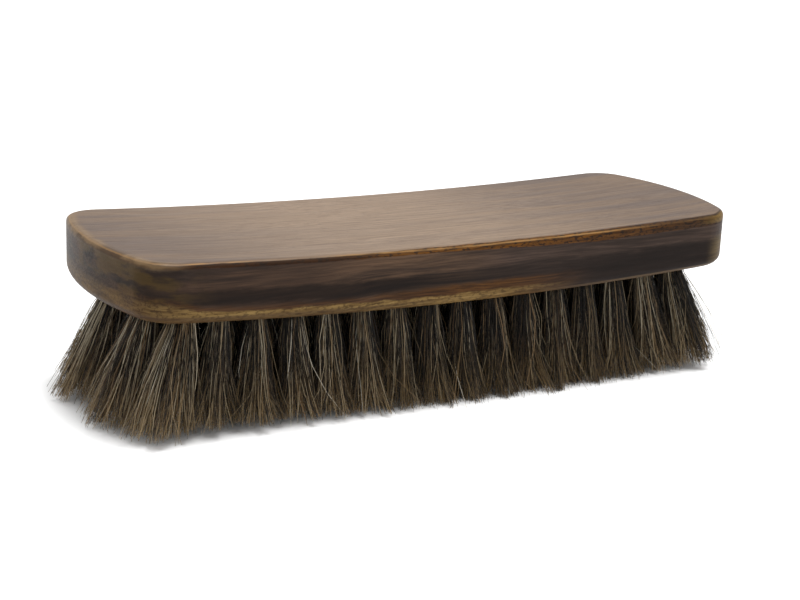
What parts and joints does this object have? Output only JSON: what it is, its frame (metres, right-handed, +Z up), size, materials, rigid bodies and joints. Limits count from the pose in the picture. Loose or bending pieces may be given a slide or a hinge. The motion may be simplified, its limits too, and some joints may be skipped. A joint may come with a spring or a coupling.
{
  "type": "detailing brush",
  "caption": "Hand brush with an arched, stained hardwood block and rows of flared horsehair tufts, for cleaning leather and trim inside a car.",
  "frame": {"origin": "on the surface that the hair tips stand on, under the middle of the block", "axes": "+X along the block, +Y across it towards the back, +Z up out of the bare top of the block"},
  "size_m": [0.1786, 0.06, 0.0436],
  "materials": {
    "stained_hardwood": "dark walnut stain rubbed thin along the edges, satin lacquer",
    "horsehair": "natural mixed horsehair, dark brown with tan and grey strands"
  },
  "bodies": {
    "root": {"handle_block": "stained_hardwood", "tuft_back_01": "horsehair", "tuft_back_02": "horsehair", "tuft_back_03": "horsehair", "tuft_back_04": "horsehair", "tuft_back_05": "horsehair", "tuft_back_06": "horsehair", "tuft_back_07": "horsehair", "tuft_back_08": "horsehair", "tuft_back_09": "horsehair", "tuft_back_10": "horsehair", "tuft_back_11": "horsehair", "tuft_back_12": "horsehair", "tuft_back_13": "horsehair", "tuft_back_14": "horsehair", "tuft_back_15": "horsehair", "tuft_back_16": "horsehair", "tuft_front_01": "horsehair", "tuft_front_02": "horsehair", "tuft_front_03": "horsehair", "tuft_front_04": "horsehair", "tuft_front_05": "horsehair", "tuft_front_06": "horsehair", "tuft_front_07": "horsehair", "tuft_front_08": "horsehair", "tuft_front_09": "horsehair", "tuft_front_10": "horsehair", "tuft_front_11": "horsehair", "tuft_front_12": "horsehair", "tuft_front_13": "horsehair", "tuft_front_14": "horsehair", "tuft_front_15": "horsehair", "tuft_front_16": "horsehair", "tuft_left_1": "horsehair", "tuft_left_2": "horsehair", "tuft_left_3": "horsehair", "tuft_right_1": "horsehair", "tuft_right_2": "horsehair", "tuft_right_3": "horsehair", "tuft_strip_01": "horsehair", "tuft_strip_02": "horsehair", "tuft_strip_03": "horsehair", "tuft_strip_04": "horsehair", "tuft_strip_05": "horsehair", "tuft_strip_06": "horsehair", "tuft_strip_07": "horsehair", "tuft_strip_08": "horsehair", "tuft_strip_09": "horsehair", "tuft_strip_10": "horsehair", "tuft_strip_11": "horsehair", "tuft_strip_12": "horsehair", "tuft_strip_13": "horsehair", "tuft_strip_14": "horsehair", "tuft_strip_15": "horsehair"}
  },
  "joints": []
}
